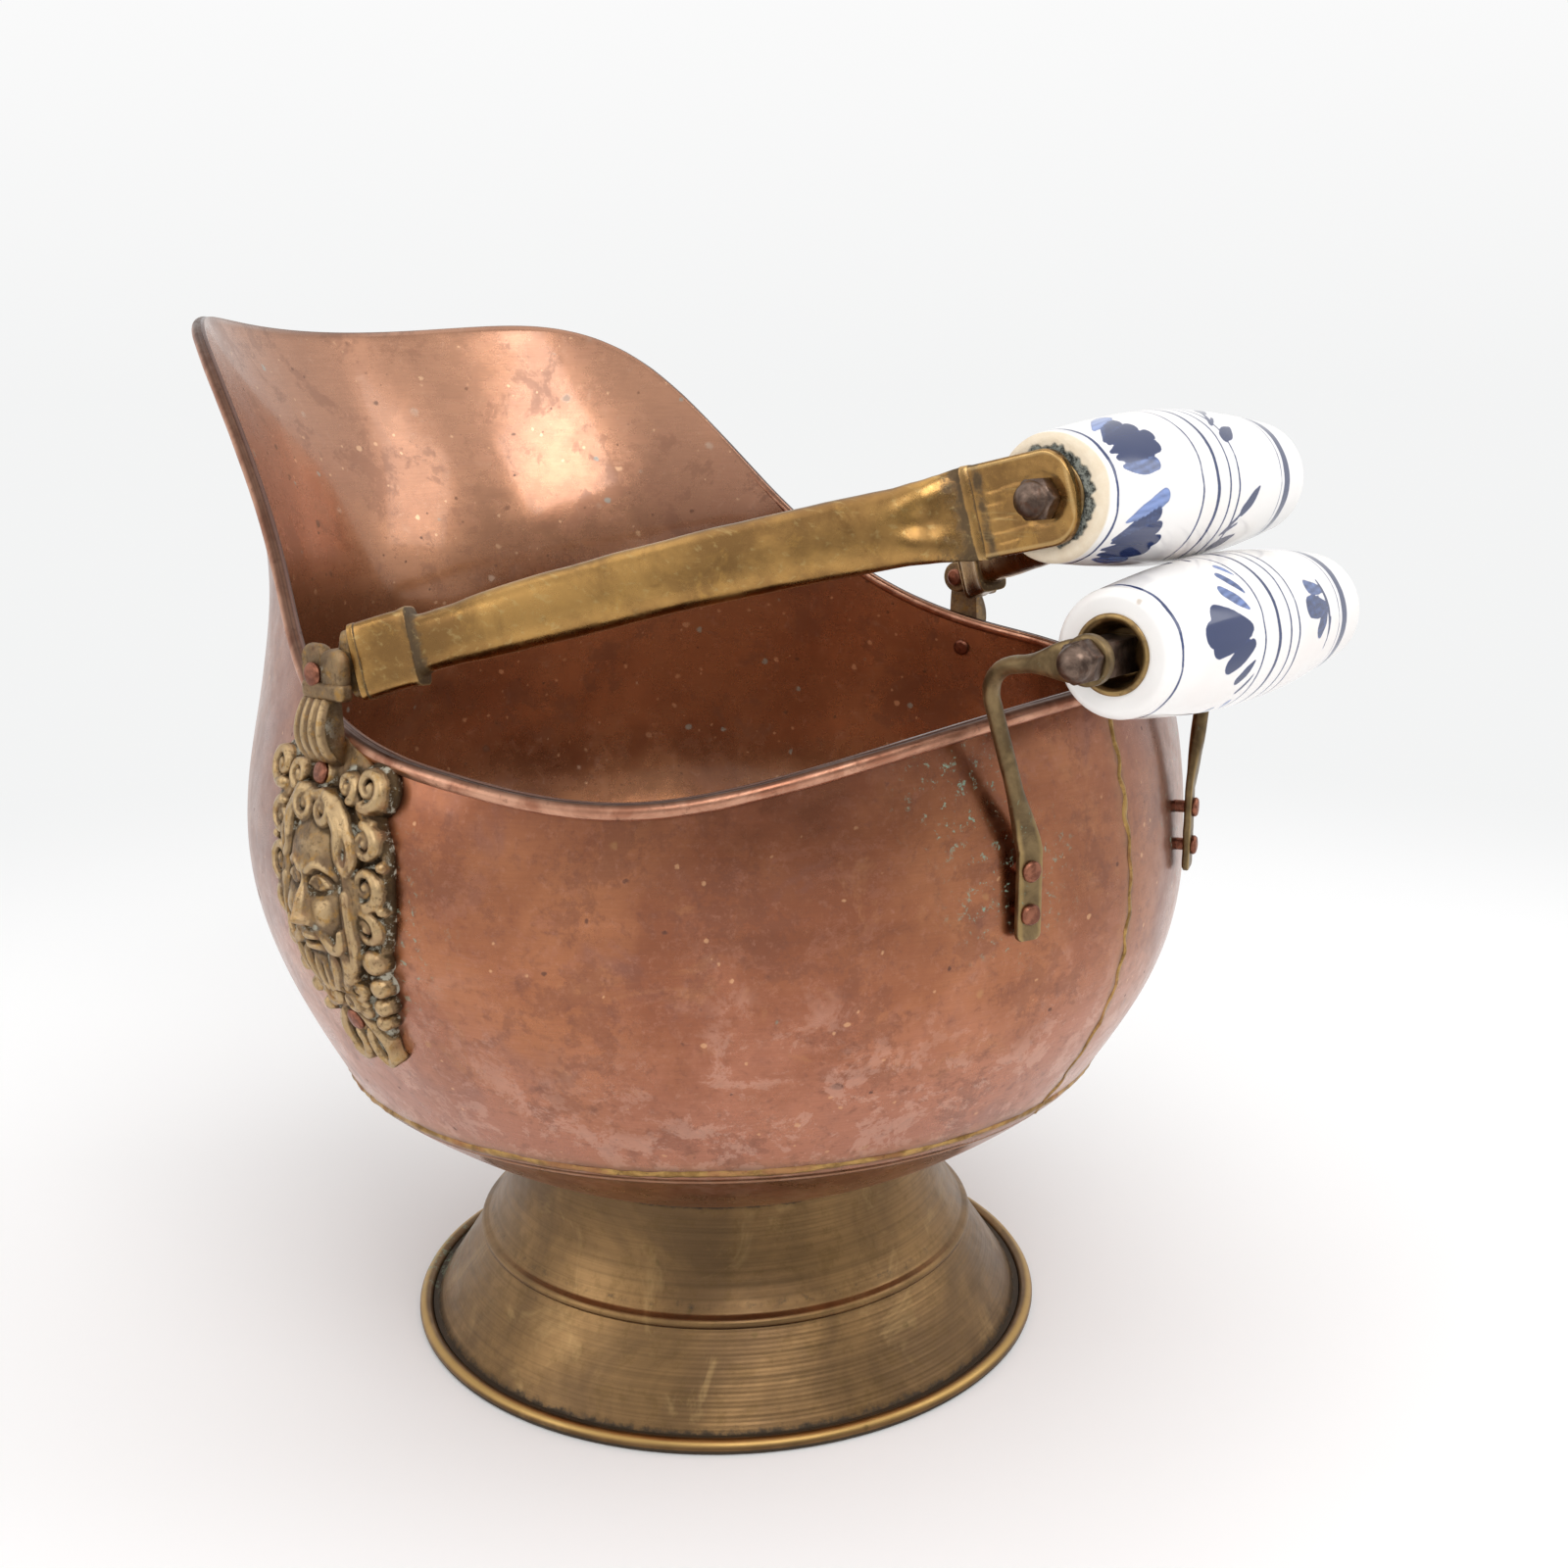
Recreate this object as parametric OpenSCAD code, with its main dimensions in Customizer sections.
// Helmet coal scuttle: a copper bowl with a spout on a spun brass foot, a swinging
// bail with a ceramic grip, and a fixed ceramic grip at the back.
// The origin is the centre of the foot on the floor. The spout points to -Y, the
// bail swings about the X axis through the two mask plates.

/* [Foot] */
// Outer radius of the foot over its rolled edge
foot_r = 110; // [104:1:118]
// Radius of the rolled edge
foot_edge_r = 2.4; // [2:0.1:3]
// Width of the worn flat under the rolled edge
foot_flat_w = 2.6; // [2:0.2:3.2]
// Height of the step in the foot
foot_step_z = 30.5; // [28:0.5:33]
// Outer radius of the foot at the step
foot_step_r = 87.2; // [85:0.2:89]
// Radius of the small bead on the step
foot_bead_r = 1.8; // [1:0.2:2.4]
// Outer radius of the foot in the cove above the step
foot_cove_r = 82; // [80.4:0.2:83]
// Outer radius of the foot where it meets the dish
foot_top_r = 72.5; // [70:0.5:76]
// Thickness of the spun brass sheet
foot_sheet = 1.2; // [0.8:0.1:1.6]

/* [Bowl sheet] */
// Thickness of the copper sheet
sheet = 1.2; // [0.9:0.1:1.6]
// Height of the lowest point of the dish under the bowl
dish_low_z = 50; // [46:1:54]
// Height of the brazed seam between dish and wall
seam_z = 99; // [94:1:104]
// Outer radius at the brazed seam
seam_r = 128; // [122:1:132]
// Height of the section through the lip of the spout
lip_z = 345; // [335:1:355]

/* [Bowl half widths, from the seam up to the lip] */
// Half width low on the flank
half_w_flank = 149.5; // [144:0.5:154]
// Half width at the belly
half_w_belly = 159.5; // [155:0.5:164]
// Half width at the shoulder, just under the rim
half_w_shoulder = 152.5; // [149:0.5:156]
// Half width at the throat
half_w_throat = 140; // [136:0.5:144]
// Half width in the hood
half_w_hood = 133.5; // [130:0.5:137]
// Half width at the lip
half_w_lip = 129; // [125:0.5:133]

/* [Bowl reach to the front] */
// Front reach low on the flank
front_flank = 153; // [148:0.5:158]
// Front reach at the belly
front_belly = 163; // [158:0.5:168]
// Front reach at the shoulder
front_shoulder = 159.5; // [155:0.5:164]
// Front reach at the throat
front_throat = 163; // [158:0.5:168]
// Front reach in the hood
front_hood = 182; // [177:0.5:187]
// Front reach at the lip
front_lip = 206; // [200:0.5:212]

/* [Bowl reach to the back] */
// Back reach low on the flank
back_flank = 152; // [147:0.5:157]
// Back reach at the belly
back_belly = 157; // [152:0.5:160]
// Back reach at the shoulder
back_shoulder = 150.5; // [146:0.5:154]
// Back reach of the section above the rim
back_throat = 137; // [132:0.5:142]

/* [Bowl plan] */
// Where the widest point lies at the belly
mid_belly = 19; // [14:1:24]
// Where the widest point lies at the throat
mid_throat = 17; // [12:1:22]
// Where the widest point lies at the lip, in front of the foot's centre
mid_lip = -33; // [-38:1:-28]
// Roundness of the front half of each section, 2 is an ellipse
round_front = 1.96; // [1.9:0.02:2.1]
// Roundness of the back half of each section
round_back = 1.78; // [1.7:0.02:2.1]

/* [Rim] */
// Rim height at the back
rim_z_back = 229.5; // [226:0.5:233]
// Rim height at the back quarter
rim_z_quarter = 215; // [212:0.5:218]
// Rim height at its lowest, along the side
rim_z_side = 219.5; // [216:0.5:222]
// Rim height beside the hinges
rim_z_hinge = 227; // [225:0.5:229]
// Rim height where the throat starts
rim_z_throat = 248; // [245:0.5:251]
// Rim height half way up the throat
rim_z_rise = 291.5; // [287:0.5:296]
// Rim height on the wing of the hood
rim_z_wing = 327.5; // [323:0.5:332]
// Rim height at the corner of the lip
rim_z_corner = 342.5; // [339:0.5:346]
// Rim height at the middle of the lip
rim_z_lip = 338.5; // [335:0.5:342]
// Radius of the rolled and wired rim
rim_bead_r = 2.2; // [1.8:0.1:2.6]

/* [Mask plates] */
// How far the top of the mask plate lies under the rim beside the hinge
mask_drop = 7.5; // [6:0.5:11]
// Height of the mask plate from its tip to its top
mask_len = 86.5; // [83:0.5:89]
// Half width of the mask plate at its scrolls
mask_half_w = 26; // [23:0.5:27]
// Thickness of the casting at its thinnest
mask_base_t = 2.2; // [1.6:0.1:3]
// How far the face stands out of the plate
mask_face_h = 4.5; // [3:0.5:6]
// How far the plate's middle lies in front of the foot's centre
mask_y = 0; // [-2:1:1]
// How far the tip of the plate lies behind its top
mask_slant = 5; // [3:1:6]

/* [Bail hinge] */
// Height of the hinge axis
hinge_z = 242.5; // [241:0.5:245]
// How far the hinge axis lies in front of the foot's centre
hinge_y = -4.5; // [-6:0.5:-3]
// Space between the rim and the lug beside it
lug_gap = 0.5; // [0.3:0.1:1]
// Thickness of the lug's ear
ear_t = 4; // [3:0.5:5]
// Radius of the ear's rounded top
ear_r = 7; // [6:0.5:8]
// Width of the lug's neck along the rim
neck_w = 13; // [10:0.5:15]
// Thickness of the tongue on the arm
tongue_t = 5.4; // [4:0.2:7]
// Radius of the tongue's round end
tongue_r = 6; // [5:0.5:7]
// Side clearance between the ear and the tongue
hinge_play = 0.3; // [0.2:0.05:0.5]
// Radius of the copper hinge rivet
hinge_rivet_r = 2.2; // [1.8:0.1:2.6]
// Running clearance round the rivet in the tongue
hinge_clear = 0.06; // [0.03:0.01:0.1]

/* [Bail arms] */
// Distance from the hinge axis to the axis of the bail's grip
bail_len = 173; // [168:0.5:178]
// How far the arm bows up above the straight line
arm_bow = 3.5; // [1:0.5:7]
// Length of the square socket at the hinge end
socket_len = 14.5; // [12:0.5:17]
// Width of the square socket
socket_w = 11; // [10:0.5:12]
// Height of the square socket
socket_h = 21; // [19:0.5:23]
// Width of the pressed tube
arm_w = 11; // [10:0.5:12]
// Height of the tube just after the socket
arm_neck_h = 16; // [14:0.5:18]
// Height of the tube at the middle
arm_mid_h = 19.5; // [17:0.5:21]
// Height of the flattened end plate
plate_h = 24; // [21:0.5:26]
// Thickness of the flattened end plate
plate_t = 2.6; // [2:0.2:3.4]
// Length of the flat from the crimp to the rod
plate_len = 20; // [17:0.5:23]
// Wall of the pressed tube
arm_sheet = 1.1; // [0.8:0.1:1.4]

/* [Grips] */
// Half length of each ceramic grip
grip_half = 57.5; // [53:0.5:62]
// Radius of the grip at its ends
grip_end_r = 16.4; // [15:0.2:17.6]
// Radius of the grip at its middle
grip_mid_r = 20.7; // [19:0.1:22]
// Rounding at the ends of the grip
grip_round = 2.6; // [2:0.2:3.4]
// Distance of the rear grip's axis behind the foot's centre
rear_grip_y = 181; // [178:0.5:186]
// Height of the rear grip's axis
rear_grip_z = 252.5; // [249:0.5:256]
// Space between the two grips when the bail lies back
grip_rest_gap = 0.4; // [0.3:0.1:1]
// Radius of the threaded rod through each grip
rod_r = 2.5; // [2:0.1:3]
// Clearance round a rod in what it passes through
rod_clear = 0.15; // [0.1:0.05:0.3]
// Outer radius of the brass cup let into the end of a grip
cup_r = 8.8; // [8:0.2:9.6]
// Depth of the brass cup
cup_depth = 8; // [6:0.5:11]
// Wall of the brass cup
cup_t = 0.9; // [0.7:0.1:1.2]
// Clearance round the cup in the ceramic
cup_clear = 0.2; // [0.1:0.05:0.4]
// Width of the cup's flange over the ceramic
cup_flange = 1.4; // [1:0.2:2.4]
// Side of the square block inside the rear cup
block_side = 9; // [7:0.5:10]
// How far the square block stands out of the rear cup
block_out = 8.5; // [6:0.5:10]
// Width across the corners of the cap nuts
nut_d = 11.6; // [10:0.2:13]
// Height of the hexagon of a cap nut
nut_hex_h = 4; // [3:0.5:5]
// Radius of the dome of a cap nut
nut_dome_r = 4.6; // [4:0.1:5]

/* [Rear brackets] */
// Diameter of the bent rod
bracket_d = 4.6; // [4:0.2:5.4]
// Radius of the bend
bracket_bend = 12; // [9:0.5:14]
// Thickness of the flattened eye
eye_t = 3.6; // [3:0.2:5]
// Radius of the flattened eye
eye_r = 6.4; // [5.4:0.2:7.4]
// Distance between the middle plane and the foot of the strap
strap_x = 46; // [42:0.5:50]
// Height of the lower end of the strap
strap_low_z = 171; // [167:1:175]
// Length of the flat strap
strap_len = 30; // [26:1:34]
// Width of the flat strap
strap_w = 8; // [7:0.5:10]
// Thickness of the flat strap
strap_t = 2.4; // [1.8:0.2:3]
// Space between the bowl and the strap at the upper rivet
strap_gap = 3; // [2:0.5:4.5]
// Radius of the small copper rivets
rivet_r = 1.9; // [1.5:0.1:2.2]
// Radius of the heads of the small rivets
rivet_head_r = 3; // [2.5:0.1:3.6]
// Height of the heads of the small rivets
rivet_head_h = 1.6; // [1:0.1:2.2]

/* [Hidden] */
$fn = 96;

copper = "#a8623f";
brass = "#8f7a45";
dark_brass = "#6b5c3c";
steel = "#5b4f47";
ceramic = "#f2f1ec";

// Faces of the copper shell, around and from seam to rim
wall_cols = 72;
wall_rows = 20;
// Sides of the rolled rim's section
bead_sides = 8;
// Sides and rings of the pressed arms
arm_sides = 16;
arm_rings = 24;
// Grid of the mask plate, across and along
mask_cols = 14;
mask_rows = 26;
// A fit between faces that are brazed or clamped together
seat = 0.02;
// Room under the faceted bead where the rim line bends
bead_seat = 0.12;
// Room between the bowl and the back of a mask plate
mask_lift = 0.1;
// How far the lug's neck swells out beyond its ear
neck_swell = 1.4;
// Height over which a mask plate and its neck run together
neck_blend = 9;
// Length over which an arm's tube swells behind its socket, and flattens before its end
swell_len = 14;
flare_len = 18;
crush_len = 6;
// Step between the square socket and the tube
socket_step = 2.5;
// Radius of the round end of an arm's plate
plate_end_r = 9;
// Where the bracket's rod turns, measured back from the middle of its eye
corner_in = 4;
corner_out = 3.5;
corner_drop = 5;
// How far the strap is let into the rod, and over what length the rod is beaten into the eye
strap_lap = 4;
eye_blend = 9;

// ---- Splines ----

// Forward sweep of the natural cubic spline through the points xs, ys
function spline_sweep(xs, ys, i = 1, c = 0, d = 0) =
    i > len(xs) - 2 ? [] :
    let (h0 = xs[i] - xs[i - 1],
        h1 = xs[i + 1] - xs[i],
        r = 6 * ((ys[i + 1] - ys[i]) / h1 - (ys[i] - ys[i - 1]) / h0),
        q = 2 * (h0 + h1) - h0 * c,
        c1 = h1 / q,
        d1 = (r - h0 * d) / q)
    concat([[c1, d1]], spline_sweep(xs, ys, i + 1, c1, d1));

// Back substitution, from the last row of the sweep to the first
function spline_back(rows, i, next) =
    i < 0 ? [] :
    let (m = rows[i][1] - rows[i][0] * next)
    concat(spline_back(rows, i - 1, m), [m]);

// A spline is kept as its points and its second derivatives
function spline(xs, ys) =
    let (rows = spline_sweep(xs, ys))
    [xs, ys, concat([0], spline_back(rows, len(rows) - 1, 0), [0])];

// Value of a spline at x
function at(s, x) =
    let (xs = s[0],
        i = max([for (k = [0 : len(xs) - 2]) (k == 0 || x >= xs[k]) ? k : 0]),
        h = xs[i + 1] - xs[i],
        a = (xs[i + 1] - x) / h,
        b = 1 - a)
    a * s[1][i] + b * s[1][i + 1]
        + ((pow(a, 3) - a) * s[2][i] + (pow(b, 3) - b) * s[2][i + 1]) * h * h / 6;

function unit(v) = v / norm(v);

// ---- Bowl surface ----

level = (lip_z - seam_z) / 6;
heights = [for (i = [0 : 6]) seam_z + i * level];
half_w = spline(heights, [seam_r, half_w_flank, half_w_belly, half_w_shoulder,
    half_w_throat, half_w_hood, half_w_lip]);
front = spline(heights, [seam_r, front_flank, front_belly, front_shoulder,
    front_throat, front_hood, front_lip]);
back = spline([for (i = [0 : 4]) heights[i]],
    [seam_r, back_flank, back_belly, back_shoulder, back_throat]);
middle = spline([heights[0], heights[2], heights[4], heights[6]],
    [0, mid_belly, mid_throat, mid_lip]);

// Height of the rim over the length of the bowl; its stations follow the reach to the lip
rim_end = 207;
rim_y = [-rim_end, -170, -130, -90, -45, 0, 45, 90, 135] * ((front_lip + 1) / rim_end);
rim_line = spline(rim_y, [rim_z_lip, rim_z_corner, rim_z_wing, rim_z_rise,
    rim_z_throat, rim_z_hinge, rim_z_side, rim_z_quarter, rim_z_back]);

// Roundness of a section: a true circle at the seam, the set value from the belly up
function section_power(round, z) =
    2 + (round - 2) * min(1, max(0, (z - seam_z) / (heights[2] - seam_z)));

// Power that keeps the sign
function spow(v, p) = sign(v) * pow(abs(v), p);

// Point of the outer surface at plan angle a, 0 at the back, and height z
function wall_point(a, z) =
    let (m = at(middle, z),
        zb = min(z, heights[4]),
        n = section_power(cos(a) > 0 ? round_back : round_front, z),
        reach = cos(a) > 0 ? at(back, zb) - m : at(front, z) + m)
    [at(half_w, z) * spow(sin(a), 2 / n), m + reach * spow(cos(a), 2 / n), z];

// Level normal of the surface there, pointing out
function wall_normal(a, z) =
    let (d = wall_point(a + 0.5, z) - wall_point(a - 0.5, z))
    unit([d[1], -d[0], 0]) * -1;

// Half width of the outer surface at a place along the bowl
function wall_x(y, z) =
    let (m = at(middle, z),
        n = section_power(y > m ? round_back : round_front, z),
        reach = y > m ? at(back, min(z, heights[4])) - m : at(front, z) + m)
    at(half_w, z) * pow(max(0, 1 - pow(abs(y - m) / reach, n)), 1 / n);

// Back reach of the outer surface at a half width x
function wall_y(x, z) =
    let (m = at(middle, z), n = section_power(round_back, z))
    m + (at(back, z) - m) * pow(1 - pow(abs(x) / at(half_w, z), n), 1 / n);

// Height at which the surface meets the rim line, by halving
function rim_height(a, low = heights[1], high = lip_z + 6, n = 18) =
    n == 0 ? (low + high) / 2 :
    let (z = (low + high) / 2, y = wall_point(a, z)[1])
    z < at(rim_line, y) ? rim_height(a, z, high, n - 1) : rim_height(a, low, z, n - 1);

angles = [for (i = [0 : wall_cols - 1]) 360 * i / wall_cols];
rim_z = [for (a = angles) rim_height(a)];
rim = [for (i = [0 : wall_cols - 1]) wall_point(angles[i], rim_z[i])];

// ---- Meshes ----

// Quads of a grid of rings, each closed on itself
function tube_faces(rings, sides) = [
    for (r = [0 : rings - 2])
        for (s = [0 : sides - 1])
            let (a = r * sides + s, b = r * sides + (s + 1) % sides)
            each [[a, b, b + sides], [a, b + sides, a + sides]]];

// Closed tube through rings of points, with flat ends
module capped_tube(rings) {
    sides = len(rings[0]);
    last = (len(rings) - 1) * sides;
    polyhedron([for (r = rings) each r],
        concat(tube_faces(len(rings), sides),
            [[for (s = [sides - 1 : -1 : 0]) s]],
            [[for (s = [0 : sides - 1]) last + s]]));
}

// ---- Foot ----

dish_r = (seam_r * seam_r + pow(seam_z - dish_low_z, 2)) / (2 * (seam_z - dish_low_z));
dish_mid_z = dish_low_z + dish_r;

// Height of the underside of the dish at radius r
function dish_z(r) = dish_mid_z - sqrt(dish_r * dish_r - r * r);

foot_edge_z = sqrt(foot_edge_r * foot_edge_r - foot_flat_w * foot_flat_w / 4);
foot_edge_x = foot_r - foot_edge_r;
foot_flange_z = foot_edge_z + foot_edge_r * 0.4;

// Outer profile of the foot, from the rolled edge up to the dish
foot_line = spline([0, 0.14, 0.5, 1], [foot_step_r - foot_bead_r - 0.4, foot_cove_r,
    (foot_cove_r + foot_top_r) / 2 - 0.6, foot_top_r]);
foot_outer = concat(
    [[foot_edge_x - foot_edge_r - seat, foot_flange_z],
    [foot_edge_x - foot_edge_r - 1.8, foot_flange_z]],
    [for (a = [-60 : 20 : 60])
        [foot_step_r - foot_bead_r + foot_bead_r * cos(a), foot_step_z + foot_bead_r * sin(a)]],
    [for (i = [1 : 12])
        let (r = at(foot_line, i / 12), z0 = foot_step_z + foot_bead_r)
        [r, z0 + (dish_z(foot_top_r) - seat - z0) * i / 12]]);
foot_inner = [for (i = [len(foot_outer) - 1 : -1 : 0])
    let (p = foot_outer[i], r = p[0] - foot_sheet)
    [r, i == len(foot_outer) - 1 ? dish_z(r) - seat : i < 2 ? p[1] - foot_sheet : p[1] - foot_sheet * 0.6]];

module foot_shell() {
    color(brass)
    rotate_extrude() polygon(concat(foot_outer, foot_inner));
}

module foot_rim() {
    color(brass)
    rotate_extrude()
    intersection() {
        translate([foot_edge_x, foot_edge_z]) circle(foot_edge_r, $fn = 32);
        translate([foot_edge_x - foot_r / 2, 0]) square([foot_r, foot_r]);
    }
}

// ---- Bowl ----

module bowl_dish() {
    steps = 20;
    outer = [for (i = [0 : steps]) let (r = seam_r * i / steps) [r, dish_z(r)]];
    in_r = seam_r - sheet;
    inner_r = sqrt(in_r * in_r + pow(dish_mid_z - seam_z, 2));
    inner = [for (i = [steps : -1 : 0])
        let (r = in_r * i / steps) [r, dish_mid_z - sqrt(inner_r * inner_r - r * r)]];
    color(copper)
    rotate_extrude() polygon(concat(outer, inner));
}

// Wall rows: even from the seam to the rim
function wall_ring(t, inset) = [
    for (i = [0 : wall_cols - 1])
        let (z = seam_z + seat + (rim_z[i] - seam_z - seat) * t)
        wall_point(angles[i], z) - inset * wall_normal(angles[i], z)];

module body_wall() {
    rings = concat(
        [for (k = [0 : wall_rows]) wall_ring(k / wall_rows, 0)],
        [for (k = [wall_rows : -1 : 0]) wall_ring(k / wall_rows, sheet)]);
    total = len(rings);
    color(copper)
    polyhedron([for (r = rings) each r],
        concat(tube_faces(total, wall_cols),
            [for (s = [0 : wall_cols - 1])
                let (a = (total - 1) * wall_cols + s,
                    b = (total - 1) * wall_cols + (s + 1) % wall_cols,
                    c = (s + 1) % wall_cols)
                each [[a, b, c], [a, c, s]]]));
}

// How far the middle of the rolled rim lies outside the wall
bead_out = rim_bead_r * cos(180 / bead_sides) - sheet;

module rim_bead() {
    flat = rim_bead_r * cos(180 / bead_sides);
    points = [for (i = [0 : wall_cols - 1])
        let (n = wall_normal(angles[i], rim_z[i]),
            p = rim[i],
            t = unit(rim[(i + 1) % wall_cols] - rim[(i + wall_cols - 1) % wall_cols]),
            up = unit(cross(t, n)) * -1,
            mid = p + n * bead_out + (flat + bead_seat) * up)
        each [for (s = [0 : bead_sides - 1])
            let (a = 360 * (s + 0.5) / bead_sides)
            mid + rim_bead_r * (cos(a) * n + sin(a) * up)]];
    color(copper)
    polyhedron(points, [for (r = [0 : wall_cols - 1])
        for (s = [0 : bead_sides - 1])
            let (r2 = (r + 1) % wall_cols, s2 = (s + 1) % bead_sides,
                a = r * bead_sides + s, b = r * bead_sides + s2,
                c = r2 * bead_sides + s2, d = r2 * bead_sides + s)
            each [[a, c, b], [a, d, c]]]);
}

// ---- Mask plates ----

mask_top_z = rim_z_hinge - mask_drop;
mask_tip_z = mask_top_z - mask_len;

// Outline: half width along the plate, 0 at the top and 1 at the tip
mask_outline = spline([0, 0.08, 0.2, 0.4, 0.6, 0.8, 1],
    [0.8, 1.06, 0.98, 0.9, 0.74, 0.55, 0.26] * mask_half_w);

function bump(u, v, cu, cv, su, sv) = exp(-pow((u - cu) / su, 2) - pow((v - cv) / sv, 2));

// Height of the relief over the plate
function relief(u, v) =
    mask_face_h * (bump(u, v, 0, 0.36, 0.5, 0.16) + 0.5 * bump(u, v, 0, 0.42, 0.14, 0.07)
        + 0.45 * bump(u, v, 0, 0.66, 0.6, 0.13)
        + 0.4 * (bump(u, v, -0.76, 0.09, 0.26, 0.06) + bump(u, v, 0.76, 0.09, 0.26, 0.06)))
    * (1 - pow(abs(u), 4));

// Centre line and point on the outer surface of the bowl under the plate
function mask_mid_y(v) = mask_y + mask_slant * v;
function mask_seat(u, v) =
    let (y = mask_mid_y(v) + u * at(mask_outline, v), z = mask_top_z + (mask_tip_z - mask_top_z) * v)
    [wall_x(y, z), y, z];
function mask_normal(p) =
    unit([1, wall_x(p[1] - 0.5, p[2]) - wall_x(p[1] + 0.5, p[2]),
        wall_x(p[1], p[2] - 0.5) - wall_x(p[1], p[2] + 0.5)]);

module mask_plate() {
    spots = [for (j = [0 : mask_rows]) for (i = [0 : mask_cols])
        let (u = 2 * i / mask_cols - 1, v = j / mask_rows, p = mask_seat(u, v), n = mask_normal(p))
        [p + mask_lift * n, p + (mask_lift + mask_base_t + relief(u, v)) * n]];
    count = len(spots);
    w = mask_cols + 1;
    edge = concat([for (i = [0 : mask_cols - 1]) i],
        [for (j = [0 : mask_rows - 1]) j * w + mask_cols],
        [for (i = [mask_cols : -1 : 1]) mask_rows * w + i],
        [for (j = [mask_rows : -1 : 1]) j * w]);
    polyhedron(concat([for (s = spots) s[0]], [for (s = spots) s[1]]),
        concat(
            [for (j = [0 : mask_rows - 1]) for (i = [0 : mask_cols - 1])
                let (a = j * w + i)
                each [[a, a + w + 1, a + 1], [a, a + w, a + w + 1],
                    [count + a, count + a + 1, count + a + w + 1],
                    [count + a, count + a + w + 1, count + a + w]]],
            [for (k = [0 : len(edge) - 1])
                let (a = edge[k], b = edge[(k + 1) % len(edge)])
                each [[a, b, count + b], [a, count + b, count + a]]]));
}

// Outermost wall across the width of the neck
neck_ys = [for (d = [-1 : 1]) hinge_y + d * neck_w / 2];
function neck_wall_x(z) = max([for (y = neck_ys) wall_x(y, z)]);

// The rim beside the hinge: outer edge of its bead
lug_rim_z = at(rim_line, hinge_y);
lug_rim_x = max([for (y = neck_ys) wall_x(y, at(rim_line, y))]) + bead_out + rim_bead_r;
ear_x = lug_rim_x + lug_gap;
tongue_x = ear_x - hinge_play - tongue_t;
neck_low_z = mask_top_z - neck_blend;
neck_turn_z = mask_top_z - neck_blend * 0.45;

module neck() {
    foot_x = neck_wall_x(neck_low_z) + mask_lift;
    translate([0, hinge_y + neck_w / 2, 0])
    rotate([90, 0, 0])
    linear_extrude(neck_w)
    polygon([
        [foot_x, neck_low_z],
        [foot_x + mask_base_t, neck_low_z],
        [ear_x + ear_t + neck_swell, mask_top_z - neck_swell],
        [ear_x + ear_t + neck_swell, lug_rim_z],
        [ear_x + ear_t, hinge_z - ear_r * 0.6],
        [ear_x + ear_t, hinge_z],
        [ear_x, hinge_z],
        [ear_x, lug_rim_z - rim_bead_r],
        [neck_wall_x(neck_turn_z) + mask_lift * 3, neck_turn_z]]);
}

module mask_casting() {
    color(dark_brass)
    difference() {
        union() {
            mask_plate();
            neck();
            translate([ear_x, hinge_y, hinge_z]) rotate([0, 90, 0]) cylinder(h = ear_t, r = ear_r);
        }
        translate([ear_x - 1, hinge_y, hinge_z]) rotate([0, 90, 0])
            cylinder(h = ear_t + 4, r = hinge_rivet_r + seat);
    }
}

module mask_right() {
    mask_casting();
}

module mask_left() {
    mirror([1, 0, 0]) mask_casting();
}

// Copper rivet along +X: shank from z0 to z1, with a head at each end
module rivet(z0, z1, r, head_r, head_h) {
    rotate([0, 90, 0]) {
        translate([0, 0, z0 - head_h]) cylinder(h = z1 - z0 + 2 * head_h, r = r, $fn = 24);
        translate([0, 0, z0 - head_h]) cylinder(h = head_h, r1 = head_r * 0.8, r2 = head_r, $fn = 24);
        translate([0, 0, z1]) cylinder(h = head_h, r1 = head_r, r2 = head_r * 0.8, $fn = 24);
    }
}

// Places of the two rivets across and along each mask plate
mask_rivet_spots = [[-0.16, 0.06], [-0.16, 0.84]];

module mask_rivets() {
    color(copper)
    for (side = [0, 1])
        mirror([side, 0, 0])
        for (spot = mask_rivet_spots)
            translate(mask_seat(spot[0], spot[1]))
            rivet(-sheet - 0.2, mask_base_t + relief(spot[0], spot[1]) + 0.4, rivet_r, rivet_head_r,
                rivet_head_h);
}

hinge_head_r = hinge_rivet_r + 1.2;

module hinge_rivets() {
    color(copper)
    for (side = [0, 1])
        mirror([side, 0, 0])
        translate([tongue_x, hinge_y, hinge_z])
        rivet(-hinge_play, tongue_t + hinge_play + ear_t + seat, hinge_rivet_r,
            hinge_head_r, rivet_head_h);
}

// ---- Grips ----

function grip_r(x) =
    grip_end_r + (grip_mid_r - grip_end_r) * cos(90 * min(1, abs(x) / (grip_half - grip_round)));

// Ceramic barrel along X, with a bore and a recess in each end
module ceramic_grip() {
    steps = 28;
    body_half = grip_half - grip_round;
    round_mid_r = grip_end_r - grip_round;
    outer = concat(
        [for (a = [-90 : 15 : -15])
            [round_mid_r + grip_round * cos(a), grip_round * sin(a) - body_half]],
        [for (i = [0 : steps]) let (x = body_half * (2 * i / steps - 1)) [grip_r(x), x]],
        [for (a = [15 : 15 : 90])
            [round_mid_r + grip_round * cos(a), grip_round * sin(a) + body_half]]);
    recess_r = cup_r + cup_clear;
    recess_x = grip_half - cup_depth - cup_clear;
    bore_r = rod_r + 4 * rod_clear;
    color(ceramic)
    rotate([0, 90, 0])
    rotate_extrude()
    polygon(concat(outer, [[recess_r, grip_half], [recess_r, recess_x], [bore_r, recess_x],
        [bore_r, -recess_x], [recess_r, -recess_x], [recess_r, -grip_half]]));
}

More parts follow.
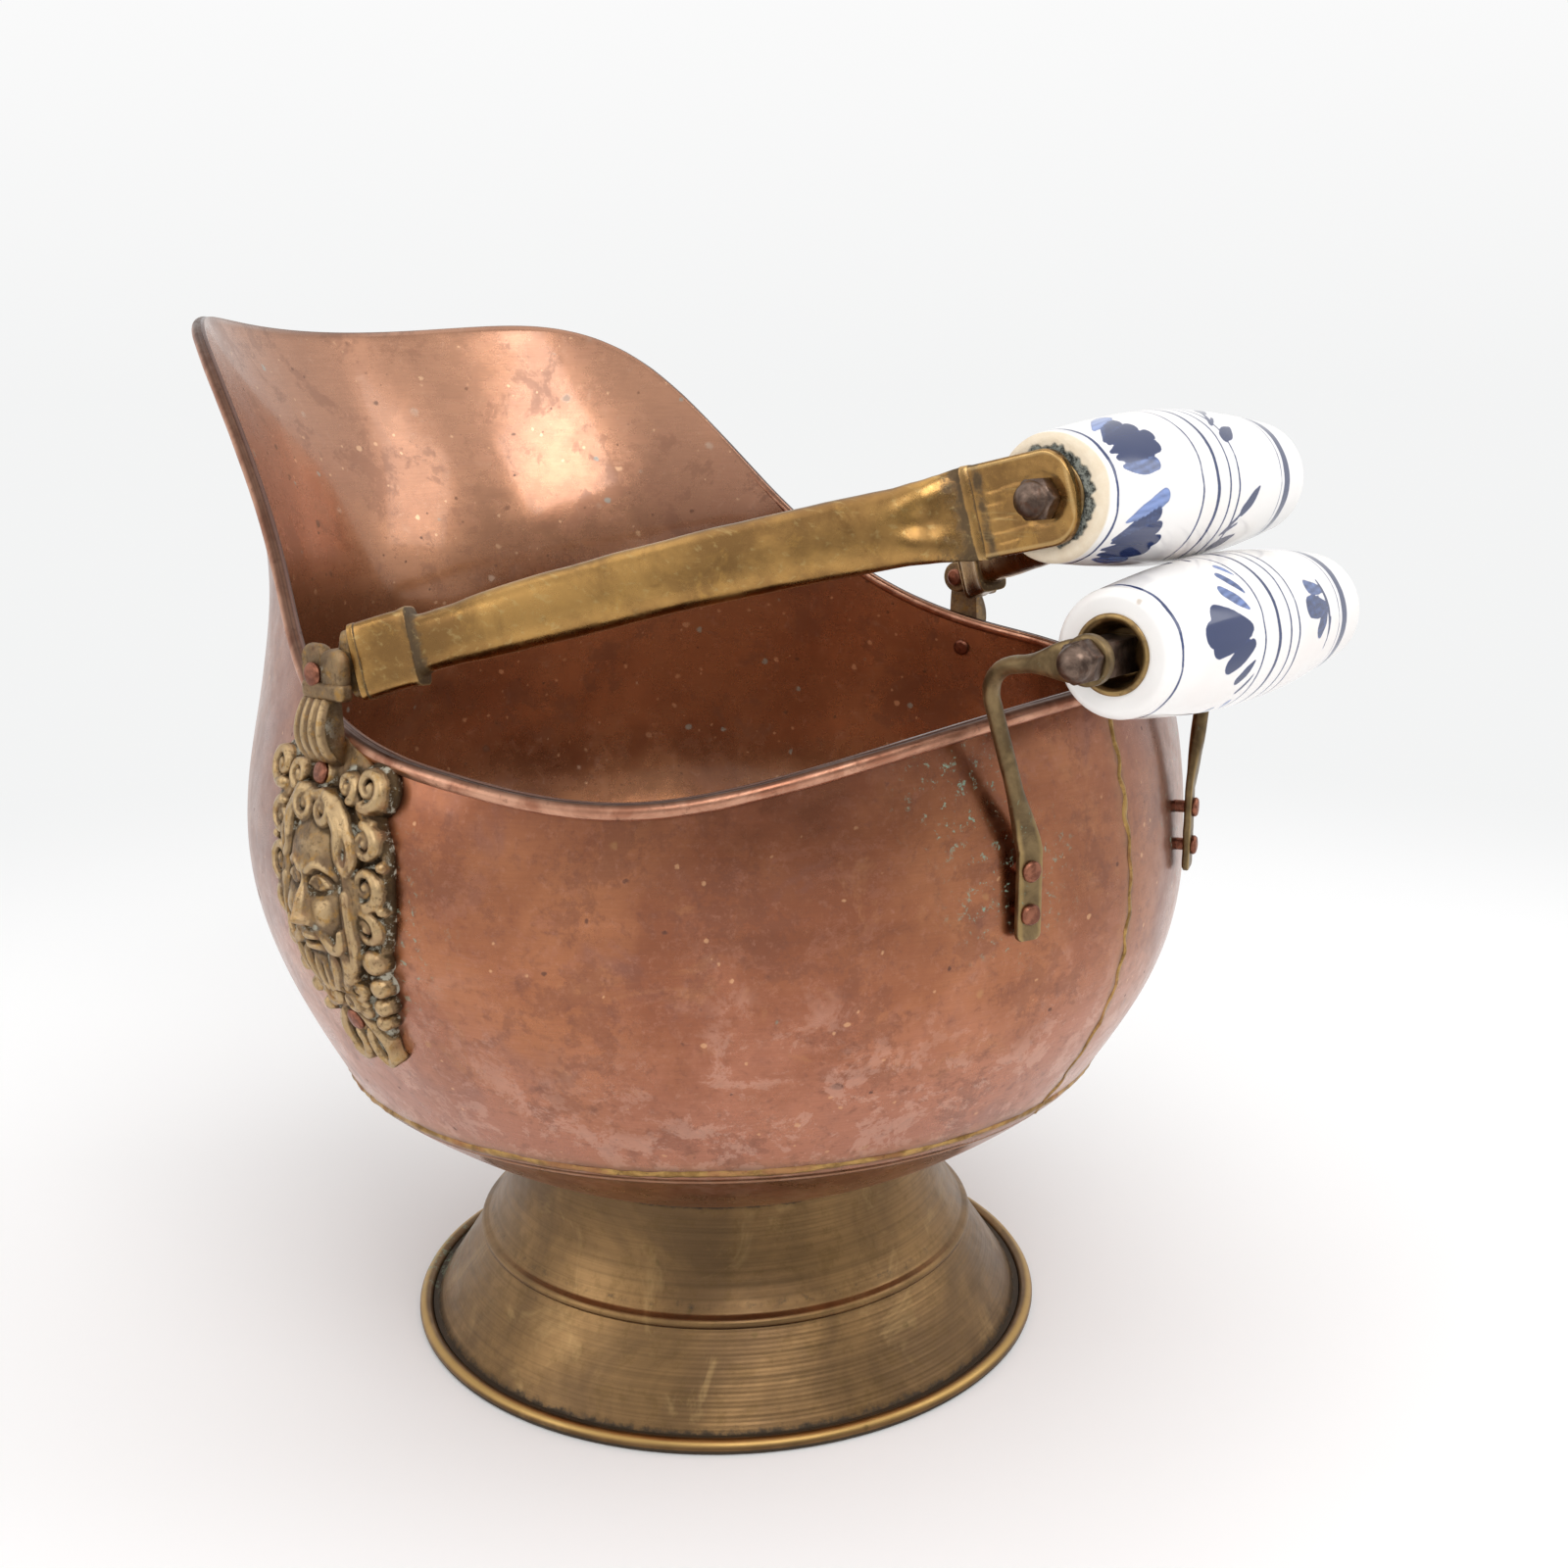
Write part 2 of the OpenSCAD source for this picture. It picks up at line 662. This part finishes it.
// Both brass cups of a grip
module grip_cups() {
    hole_r = rod_r + rod_clear;
    color(brass)
    for (side = [0, 1])
        mirror([side, 0, 0])
        rotate([0, 90, 0])
        rotate_extrude()
        polygon([[hole_r, grip_half - cup_depth], [cup_r, grip_half - cup_depth], [cup_r, grip_half],
            [cup_r + cup_flange, grip_half], [cup_r + cup_flange, grip_half + cup_t],
            [cup_r - cup_t, grip_half + cup_t], [cup_r - cup_t, grip_half - cup_depth + cup_t],
            [hole_r, grip_half - cup_depth + cup_t]]);
}

// Both cap nuts of a rod, seated on what ends at x
module cap_nuts(x) {
    color(steel)
    for (side = [0, 1])
        mirror([side, 0, 0])
        translate([x + seat, 0, 0])
        rotate([0, 90, 0])
        difference() {
            union() {
                cylinder(h = nut_hex_h, d = nut_d, $fn = 6);
                intersection() {
                    translate([0, 0, nut_hex_h]) sphere(nut_dome_r);
                    translate([0, 0, nut_hex_h / 2]) cylinder(h = nut_dome_r * 2, r = nut_dome_r + 1);
                }
            }
            translate([0, 0, -1]) cylinder(h = nut_hex_h + 2, r = rod_r + rod_clear);
        }
}

// Rod through a grip, ending inside the cap nuts that sit at x
module grip_rod(x) {
    half = x + nut_hex_h;
    color(steel)
    translate([-half, 0, 0]) rotate([0, 90, 0]) cylinder(h = 2 * half, r = rod_r);
}

// ---- Rear grip ----

block_in_x = grip_half - cup_depth + cup_t + seat;
block_out_x = grip_half + cup_t + block_out;
eye_in_x = block_out_x + seat;
eye_out_x = eye_in_x + eye_t;

module at_rear_grip() {
    translate([0, rear_grip_y, rear_grip_z]) children();
}

module rear_grip() {
    at_rear_grip() ceramic_grip();
}

module rear_grip_cups() {
    at_rear_grip() grip_cups();
}

module rear_grip_blocks() {
    length = block_out_x - block_in_x;
    color(steel)
    at_rear_grip()
    for (side = [0, 1])
        mirror([side, 0, 0])
        difference() {
            translate([block_in_x, -block_side / 2, -block_side / 2])
                cube([length, block_side, block_side]);
            translate([block_in_x - 1, 0, 0]) rotate([0, 90, 0])
                cylinder(h = length + 2, r = rod_r + rod_clear);
        }
}

module rear_rod() {
    at_rear_grip() grip_rod(eye_out_x);
}

module rear_cap_nuts() {
    at_rear_grip() cap_nuts(eye_out_x);
}

// ---- Rear brackets ----

strap_high_z = strap_low_z + strap_len;
rivet_high_z = strap_high_z - strap_len * 0.35;
rivet_low_z = strap_low_z + strap_len * 0.25;
strap_turn = atan((wall_y(strap_x - 1, rivet_high_z) - wall_y(strap_x + 1, rivet_high_z)) / 2);
strap_y = wall_y(strap_x, rivet_high_z) + strap_gap;

// Stations of a rod from a round a bend near b to c: place, direction, half width, half height
function bent_rod(a, b, c, stub) =
    let (back_dir = unit(a - b),
        on_dir = unit(c - b),
        turn = acos(back_dir * on_dir),
        leg = bracket_bend / tan(turn / 2),
        side = unit(cross(back_dir, on_dir)),
        centre = b + unit(back_dir + on_dir) * bracket_bend / sin(turn / 2),
        r = bracket_d / 2,
        from = b + back_dir * leg - centre,
        length = norm(a - b) - leg)
    concat(
        [[a, -back_dir, strap_w * 0.42, strap_t * 0.5],
            [a - back_dir * length * 0.18, -back_dir, strap_w * 0.36, strap_t * 0.8],
            [a - back_dir * length * 0.4, -back_dir, r, r]],
        [for (i = [0 : 6])
            let (w = (180 - turn) * i / 6,
                arm = from * cos(w) - cross(side, from) * sin(w))
            [centre + arm, unit(-cross(side, arm)), r, r]],
        [[b + on_dir * (norm(c - b) - stub - eye_blend), on_dir, r, r],
            [b + on_dir * (norm(c - b) - stub), on_dir, eye_t * 0.26, eye_r * 0.7]]);

// Oval ring round a station, side is square to the plane of the bend
function rod_ring(station, side, sides = 12) =
    let (up = cross(side, station[1]))
    [for (i = [0 : sides - 1])
        let (w = 360 * (i + 0.5) / sides)
        station[0] + station[2] * cos(w) * side + station[3] * sin(w) * up];

module bracket() {
    eye_mid = [eye_in_x + eye_t / 2, rear_grip_y, rear_grip_z];
    strap_mid_y = strap_y + strap_t / 2;
    corner = [eye_mid[0] - corner_in, strap_mid_y - corner_out, rear_grip_z - corner_drop];
    strap_top = [strap_x, strap_mid_y, strap_high_z - strap_lap];
    side = unit(cross(strap_top - corner, eye_mid - corner));
    color(brass)
    difference() {
        union() {
            translate([strap_x, strap_y, strap_low_z]) rotate([0, 0, -strap_turn])
                translate([-strap_w / 2, 0, 0]) cube([strap_w, strap_t, strap_len]);
            capped_tube([for (st = bent_rod(strap_top, corner, eye_mid, eye_r * 0.75)) rod_ring(st, side)]);
            translate([eye_in_x, rear_grip_y, rear_grip_z]) rotate([0, 90, 0])
                cylinder(h = eye_t, r = eye_r);
        }
        translate([eye_in_x - 1, rear_grip_y, rear_grip_z]) rotate([0, 90, 0])
            cylinder(h = eye_t + 2, r = rod_r + rod_clear);
    }
}

module bracket_right() {
    bracket();
}

module bracket_left() {
    mirror([1, 0, 0]) bracket();
}

module bracket_rivets() {
    color(copper)
    for (side = [0, 1])
        mirror([side, 0, 0])
        for (z = [rivet_low_z, rivet_high_z])
            translate([strap_x, strap_y, z])
            rotate([0, 0, 90 - strap_turn])
            rivet(wall_y(strap_x, z) - strap_y - sheet - 0.4, strap_t, rivet_r, rivet_head_r, rivet_head_h);
}

// ---- Bail ----

// The bail lies back until its grip meets the rear grip
rear_reach = [rear_grip_y - hinge_y, rear_grip_z - hinge_z];
grips_apart = 2 * grip_mid_r + grip_rest_gap;
rest_angle = atan2(rear_reach[1], rear_reach[0])
    + acos((bail_len * bail_len + rear_reach * rear_reach - grips_apart * grips_apart)
        / (2 * bail_len * norm(rear_reach)));

// The bail is drawn lying along +Y with its hinge at the origin
module at_bail() {
    translate([0, hinge_y, hinge_z]) rotate([rest_angle, 0, 0]) children();
}

module at_bail_grip() {
    at_bail() translate([0, bail_len, 0]) children();
}

plate_in_x = grip_half + cup_t + seat;
plate_out_x = plate_in_x + plate_t;
socket_y = ear_r + 1;
crimp_y = bail_len - plate_len;
tube_y = socket_y + socket_len + socket_step;
// The tube's middle runs in from the tongue's by this step
socket_x = tongue_x + tongue_t / 2 - socket_step;
plate_x = plate_in_x + plate_t / 2;
arm_heading = atan((socket_x - plate_x) / (crimp_y - socket_y));

// Width, height and squareness of the arm's section along the tube
tube_s = [tube_y, tube_y + swell_len, (tube_y + crimp_y) / 2, crimp_y - flare_len,
    crimp_y - crush_len, crimp_y];
tube_w = spline(tube_s, [arm_w - 0.5, arm_w, arm_w + 0.5, arm_w, arm_w * 0.6, plate_t]);
tube_h = spline(tube_s, [arm_neck_h, arm_neck_h + 1.5, arm_mid_h, arm_mid_h + 0.8, plate_h - 1.4, plate_h]);
tube_n = spline(tube_s, [2.6, 2.2, 2.1, 2.2, 3, 6]);

function in_socket(y) = y < tube_y - 1;
function arm_mid(y) =
    [socket_x + (plate_x - socket_x) * (y - socket_y) / (crimp_y - socket_y),
        y, arm_bow * sin(180 * y / bail_len)];

// Ring of the arm at y, drawn in by inset
function arm_ring(y, inset) =
    let (w = (in_socket(y) ? socket_w : at(tube_w, y)) / 2 - inset,
        h = (in_socket(y) ? socket_h : at(tube_h, y)) / 2 - inset,
        n = in_socket(y) ? 5 : at(tube_n, y),
        turn = arm_heading * min(1, (crimp_y - y) / (2 * crush_len)))
    [for (i = [0 : arm_sides - 1])
        let (a = 360 * (i + 0.5) / arm_sides, side = w * spow(cos(a), 2 / n))
        arm_mid(y) + [side * cos(turn), side * sin(turn), h * spow(sin(a), 2 / n)]];

module bail_arm() {
    hollow_end = crimp_y - flare_len / 2;
    tube_step = (crimp_y - tube_y) / (arm_rings - 2);
    at_bail()
    color(brass)
    difference() {
        union() {
            capped_tube(concat(
                [arm_ring(socket_y, 0), arm_ring(tube_y - socket_step, 0)],
                [for (i = [0 : arm_rings - 2]) arm_ring(tube_y + i * tube_step, 0)]));
            translate([plate_in_x, 0, 0]) rotate([90, 0, 90]) linear_extrude(plate_t)
                end_plate();
        }
        capped_tube(concat([arm_ring(socket_y - 1, arm_sheet), arm_ring(tube_y - socket_step - 1, arm_sheet)],
            [for (y = [tube_y : 2 * crush_len : hollow_end]) arm_ring(y, arm_sheet)]));
        translate([plate_in_x - 1, bail_len, 0]) rotate([0, 90, 0])
            cylinder(h = plate_t + 2, r = rod_r + rod_clear);
    }
}

// Flat end of the arm, seen from the side
module end_plate() {
    rise = arm_mid(crimp_y)[2];
    polygon(concat(
        [[crimp_y - 0.5, rise - plate_h / 2], [bail_len, -plate_h / 2]],
        [for (a = [-60 : 10 : 60])
            [bail_len + plate_end_r * (1.15 * cos(a) - 0.11), plate_h / 2 * sin(a) / sin(75)]],
        [[bail_len, plate_h / 2], [crimp_y - 0.5, rise + plate_h / 2]]));
}

module bail_arm_right() {
    bail_arm();
}

module bail_arm_left() {
    mirror([1, 0, 0]) bail_arm();
}

// Cast tongue on the hinge rivet, with a plug that fills the arm's socket
module knuckle() {
    plug_inset = arm_sheet + 0.12;
    block_y = hinge_head_r + 0.5;
    at_bail()
    color(dark_brass)
    difference() {
        union() {
            translate([tongue_x, 0, 0]) rotate([0, 90, 0]) cylinder(h = tongue_t, r = tongue_r);
            hull() {
                translate([tongue_x, block_y, -tongue_r * 0.8])
                    cube([tongue_t, 0.6, tongue_r * 1.6]);
                capped_tube([arm_ring(socket_y - 0.6, plug_inset), arm_ring(socket_y, plug_inset)]);
            }
            capped_tube([arm_ring(socket_y - 0.4, plug_inset),
                arm_ring(socket_y + socket_len - 3, plug_inset)]);
        }
        translate([tongue_x - 4, 0, 0]) rotate([0, 90, 0])
            cylinder(h = tongue_t + 8, r = hinge_rivet_r + hinge_clear);
    }
}

module bail_knuckle_right() {
    knuckle();
}

module bail_knuckle_left() {
    mirror([1, 0, 0]) knuckle();
}

module bail_grip() {
    at_bail_grip() ceramic_grip();
}

module bail_grip_cups() {
    at_bail_grip() grip_cups();
}

module bail_rod() {
    at_bail_grip() grip_rod(plate_out_x);
}

module bail_cap_nuts() {
    at_bail_grip() cap_nuts(plate_out_x);
}

foot_shell();
foot_rim();
bowl_dish();
body_wall();
rim_bead();
mask_left();
mask_right();
mask_rivets();
hinge_rivets();
bracket_left();
bracket_right();
bracket_rivets();
rear_grip();
rear_grip_cups();
rear_grip_blocks();
rear_rod();
rear_cap_nuts();
bail_arm_left();
bail_arm_right();
bail_knuckle_left();
bail_knuckle_right();
bail_grip();
bail_grip_cups();
bail_rod();
bail_cap_nuts();
